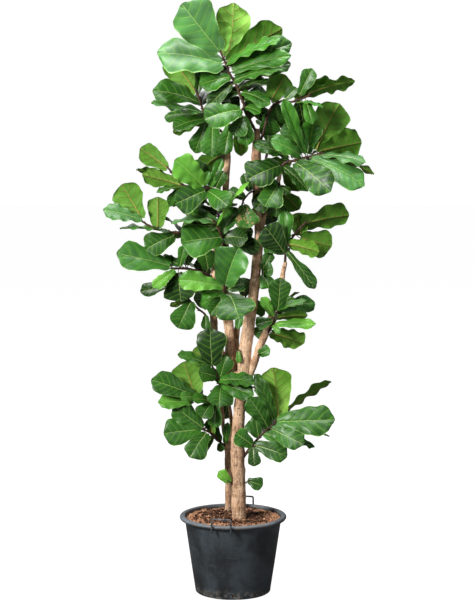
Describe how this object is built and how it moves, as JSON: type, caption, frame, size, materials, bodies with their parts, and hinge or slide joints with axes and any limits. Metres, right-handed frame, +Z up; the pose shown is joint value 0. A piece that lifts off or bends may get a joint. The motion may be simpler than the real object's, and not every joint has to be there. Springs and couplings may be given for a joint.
{
  "type": "potted fiddle leaf fig",
  "caption": "Tall fiddle leaf fig with woody trunks and broad glossy leaves, growing in a wide grey nursery pot with bail handles and bark soil",
  "frame": {"origin": "middle of the pot's foot on the floor", "axes": "+Z up, -Y front (the side the plant is seen from), +X to the right"},
  "size_m": [1.1344, 0.5956, 2.5043],
  "materials": {
    "pot_plastic": "matte",
    "handle_plastic": "satin",
    "soil": "matte",
    "bark": "matte",
    "leaf": "satin"
  },
  "bodies": {
    "root": {"pot": "pot_plastic", "handle_front": "handle_plastic", "handle_back": "handle_plastic", "soil": "soil", "trunk_main": "bark", "trunk_back": "bark", "shoot_top": "leaf", "shoot_upper_left": "leaf", "shoot_centre_top": "leaf", "shoot_upper_right": "leaf", "shoot_right": "leaf", "shoot_right_inner": "leaf", "shoot_mid_left": "leaf", "shoot_scarred": "leaf", "shoot_far_left": "leaf", "shoot_mid_front": "leaf", "shoot_low_left": "leaf", "shoot_centre_front": "leaf", "shoot_inner": "leaf", "shoot_limb_left": "leaf", "shoot_inner_small": "leaf", "shoot_back_left_high": "leaf", "shoot_back_right_high": "leaf", "shoot_back_right_mid": "leaf", "shoot_back_mid": "leaf", "shoot_back_low": "leaf", "shoot_limb_right": "leaf", "shoot_right_low": "leaf", "shoot_limb_mid": "leaf", "shoot_limb_behind": "leaf", "shoot_limb_foot": "leaf", "shoot_stem_upper": "leaf", "shoot_stem_left": "leaf", "shoot_stem_low": "leaf", "shoot_stem_top": "leaf", "shoot_foot_right": "leaf", "shoot_foot_right_low": "leaf", "sprout_right": "leaf", "sprout_left": "leaf"}
  },
  "joints": []
}
